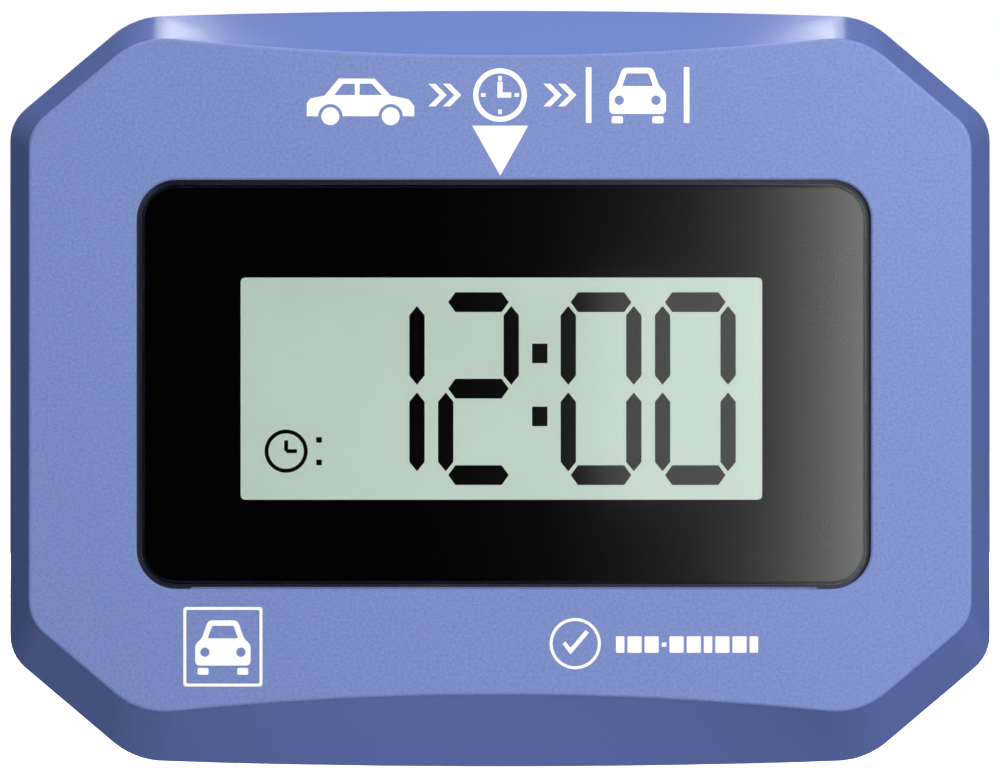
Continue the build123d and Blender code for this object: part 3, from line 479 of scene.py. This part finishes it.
def car_front_shapes(x, z, scale):
    """A car from the front: roof and windscreen, bonnet with two lamps, two wheels."""
    right = [(3.0, 0.0), (3.0, 2.3), (2.3, 2.9), (1.6, 4.9)]
    left = [(-px, pz) for px, pz in reversed(right)]
    body = rounded([left[-1], *right, *left[:-1]], 0.5)
    glass = rounded([(-1.65, 2.95), (1.65, 2.95), (1.15, 4.3), (-1.15, 4.3)], 0.15)
    lamps = [ring_points((lamp_x, 1.45), 0.5, 24) for lamp_x in (-1.95, 1.95)]
    shapes = [tuple(moved(outline, x, z, scale) for outline in (body, glass, *lamps))]
    for wheel_x in (-2.15, 2.15):
        shapes.append((moved(box_points((wheel_x, -0.625), (1.2, 0.75), 0.2), x, z, scale),))
    return shapes


def chevron(x, z, size=2.4, line=0.75):
    half = size / 2
    return [
        (x, z - half), (x + line, z - half), (x + half + line, z), (x + line, z + half), (x, z + half),
        (x + half, z),
    ]


HEADLINE_Z = 29.7
CHEVRON_PITCH = 1.55
BAY_X = 14.6
headline = clock_shapes(0.0, HEADLINE_Z, 2.85, 0.55)
headline += car_side_shapes(-14.9, HEADLINE_Z - 2.55)
headline += [(chevron(start + CHEVRON_PITCH * i, HEADLINE_Z),) for start in (-7.6, 4.6) for i in range(2)]
headline += car_front_shapes(BAY_X, HEADLINE_Z - 2.0, 1.0)
headline += [(box_points((BAY_X + side * 5.2, HEADLINE_Z), (0.6, 5.9)),) for side in (-1, 1)]
printed("print_headline", headline, "housing", 0.0, WHITE_INK)

POINTER = [(-2.95, 26.45), (0.02, 21.15), (2.99, 26.45)]
printed("print_pointer", [(POINTER,)], "housing", 0.0, WHITE_INK)

FRAME_CENTRE = (-29.4, -28.83)
frame_mark = [(box_points(FRAME_CENTRE, (8.4, 8.45), 0.35), box_points(FRAME_CENTRE, (7.76, 7.81), 0.2))]
frame_mark += car_front_shapes(FRAME_CENTRE[0], FRAME_CENTRE[1] - 2.0, 0.98)
printed("print_parking_frame", frame_mark, "housing", 0.0, WHITE_INK)

RING_CENTRE = (7.98, -28.5)
TICK = [(-1.35, -0.05), (-0.5, -1.15), (1.45, 1.15), (1.1, 1.45), (-0.5, -0.45), (-1.05, 0.25)]
BAR_WIDTHS = (0.9, 1.5, 1.5, 0.5, 1.5, 1.5, 0.9, 1.5, 1.5, 0.9)
DASH_WIDTH = 0.5
BAR_GAP = 0.32
approval = [(ring_points(RING_CENTRE, 2.72), ring_points(RING_CENTRE, 2.4)), (moved(TICK, *RING_CENTRE),)]
bar_x = 12.3
for width in BAR_WIDTHS:
    height = 0.45 if width == DASH_WIDTH else 1.75
    approval.append((box_points((bar_x + width / 2, RING_CENTRE[1] - 0.1), (width, height), 0.12),))
    bar_x += width + BAR_GAP
printed("print_approval", approval, "housing", 0.0, WHITE_INK)

LABEL_ROWS = ((9.0, 6.0, 11.0), (5.0, 12.0, 7.5), (13.0, 4.0, 6.5))
ROW_PITCH = 1.9
label_centre = middle("rating_label") / MM
label_marks = []
for row, widths in enumerate(LABEL_ROWS):
    x, z = label_centre.x - 20.0, label_centre.z + ROW_PITCH * (1 - row)
    for width in widths:
        label_marks.append((box_points((x + width / 2, z), (width, 0.7), 0.1),))
        x += width + 1.2
label_marks += clock_shapes(label_centre.x + 17.6, label_centre.z, 2.4, 0.35)
label_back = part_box("rating_label")[1].y / MM
printed("label_marks", label_marks, "housing", label_back, DARK_INK, facing=1, thickness=0.02)


# ------------------------------------------------------------------ stage
def stage_plane(name, size, place, turn, material):
    mesh = bpy.data.meshes.new(name)
    w, h = size[0] / 2, size[1] / 2
    mesh.from_pydata([(-w, -h, 0), (w, -h, 0), (w, h, 0), (-w, h, 0)], [], [(0, 1, 2, 3)])
    mesh.materials.append(material)
    plane = bpy.data.objects.new(name, mesh)
    plane.location = place
    plane.rotation_euler = turn
    bpy.context.scene.collection.objects.link(plane)
    return plane


FLOOR_SIZE = (12, 12)
FLOOR_GAP = 0.0002
floor_look = Shading("floor_pale")
floor_look.fixed(Roughness=0.9, Specular_IOR_Level=0.1, Emission_Strength=1.0)
floor_tone = floor_look.noise(120.0, 2.0)
floor_look.coloured(floor_look.mixed(floor_tone, grey(0.93), grey(0.95)))
floor_look.link(floor_look.mixed(floor_tone, grey(0.97), WHITE), floor_look.shader.inputs["Emission Color"])
floor = stage_plane("floor", FLOOR_SIZE, (0, 0, FLOOR_Z - FLOOR_GAP), (0, 0, 0), floor_look.material)
floor.visible_diffuse = False
floor.visible_glossy = False
floor.visible_shadow = False


def hidden_from_camera(thing):
    thing.visible_camera = False


def card(name, size, place, strength_of):
    """An upright card that faces the display; it isn't seen itself, only in what is glossy."""
    look = Shading(name)
    look.nodes.remove(look.shader)
    glow = look.add("ShaderNodeEmission")
    place_on_card = look.axes()
    look.link(strength_of(look, place_on_card["X"], place_on_card["Y"]), glow.inputs["Strength"])
    look.link(glow.outputs[0], look.output.inputs["Surface"])
    plane = stage_plane(name, size, place, (-math.pi / 2, 0, 0), look.material)
    plane.visible_shadow = False
    plane.visible_diffuse = False
    hidden_from_camera(plane)


CAMERA_DISTANCE = 1.2
CARD_DISTANCE = 1.25
CARD_SIZE = (0.5, 0.5)
RAMP_EDGE, RAMP_WIDTH, RAMP_TOP, RAMP_STRENGTH = 0.074, 0.0145, 1.5, 2.35
PANE_LEFT, PANE_RIGHT, PANE_HALF_HEIGHT = (0.0176, 0.0263), (0.0578, 0.0582), (0.0244, 0.0248)
PANE_STRENGTH = 0.42


def card_strength(look, across, up):
    """Brighter and brighter to the right, with one even pane that the display mirrors."""
    from_edge = look.maths("SUBTRACT", across, RAMP_EDGE)
    rise = look.maths("EXPONENT", look.maths("MULTIPLY", from_edge, 1 / RAMP_WIDTH))
    ramp = look.maths("MULTIPLY", look.maths("MINIMUM", rise, RAMP_TOP), RAMP_STRENGTH)
    sides = look.ranged(across, *PANE_LEFT, 0.0, 1.0), look.ranged(across, *PANE_RIGHT, 1.0, 0.0)
    height = look.ranged(look.maths("ABSOLUTE", up), *PANE_HALF_HEIGHT, 1.0, 0.0)
    pane = look.maths("MULTIPLY", look.maths("MULTIPLY", *sides), height)
    outside = look.maths("MULTIPLY", ramp, look.maths("SUBTRACT", 1.0, pane))
    return look.maths("ADD", outside, look.maths("MULTIPLY", pane, PANE_STRENGTH))


card("gradient_card", CARD_SIZE, (0, -CARD_DISTANCE, RIM_CENTRE_Z), card_strength)


def area_light(name, place, size, energy):
    """A rectangular light in metres and watts, aimed at the middle of the face."""
    data = bpy.data.lights.new(name, "AREA")
    data.shape = "RECTANGLE"
    data.size, data.size_y = size
    data.energy = energy
    light = bpy.data.objects.new(name, data)
    light.location = place
    light.rotation_euler = (-Vector(place)).to_track_quat("-Z", "Y").to_euler()
    bpy.context.scene.collection.objects.link(light)
    hidden_from_camera(light)


# Name, place, size and energy. "behind" lights the back alone; the "high" ones are mirrored in the top flank.
LIGHTS = (
    ("key", (0.2, -0.34, 0.15), (0.12, 0.12), 1.46),
    ("fill", (-0.35, -1.1, 0.3), (0.3, 0.5), 1.25),
    ("overhead", (-0.12, 0.03, 0.8), (0.5, 0.15), 3.4),
    ("behind", (0.0, 1.6, 0.0), (0.5, 0.4), 20.0),
    ("high_middle", (0.0, 1.2, 0.575), (0.14, 0.1), 0.2),
    ("high_left", (-0.09, 1.2, 0.56), (0.08, 0.1), 0.07),
    ("high_right", (0.09, 1.2, 0.56), (0.08, 0.1), 0.065),
    ("below", (0.35, -0.7, -0.6), (0.6, 0.4), 2.5),
    ("side_left", (-0.5, -0.2, 0.7), (0.4, 0.4), 1.6),
    ("low_left", (-0.35, -0.25, -0.7), (0.4, 0.4), 1.3),
    ("side_right", (0.9, -0.2, -0.1), (0.4, 0.4), 1.2),
)
for light_row in LIGHTS:
    area_light(*light_row)

AMBIENT = 0.1
MIRRORED = 0.03
AMBIENT_TINT = (0.95, 0.97, 1.0, 1.0)
MIRRORED_TINT = (0.5, 0.6, 1.0, 1.0)

world = bpy.data.worlds.new("studio")
bpy.context.scene.world = world
world.use_nodes = True
tree = world.node_tree
path = tree.nodes.new("ShaderNodeLightPath")


def background(colour, strength, node=None):
    node = node or tree.nodes.new("ShaderNodeBackground")
    node.inputs["Color"].default_value = colour
    node.inputs["Strength"].default_value = strength
    return node


def switched(ray, otherwise, chosen):
    pick = tree.nodes.new("ShaderNodeMixShader")
    tree.links.new(path.outputs[ray], pick.inputs[0])
    tree.links.new(otherwise.outputs[0], pick.inputs[1])
    tree.links.new(chosen.outputs[0], pick.inputs[2])
    return pick


seen = background(WHITE, 1.0, tree.nodes["Background"])
unseen = switched("Is Glossy Ray", background(AMBIENT_TINT, AMBIENT), background(MIRRORED_TINT, MIRRORED))
surroundings = switched("Is Camera Ray", unseen, seen)
tree.links.new(surroundings.outputs[0], tree.nodes["World Output"].inputs["Surface"])

# ------------------------------------------------------------------ camera
LENS_MM = 407.2
SENSOR_MM = 36.0
camera_data = bpy.data.cameras.new("camera")
camera_data.lens = LENS_MM
camera_data.sensor_width = SENSOR_MM
camera_data.clip_start = 0.05
camera_data.clip_end = 30.0
camera = bpy.data.objects.new("camera", camera_data)
camera.location = (0.0, -CAMERA_DISTANCE, RIM_CENTRE_Z)
camera.rotation_euler = (math.pi / 2, 0, 0)
bpy.context.scene.collection.objects.link(camera)
bpy.context.scene.camera = camera

bpy.context.scene.view_settings.view_transform = "Standard"
bpy.context.scene.view_settings.look = "None"
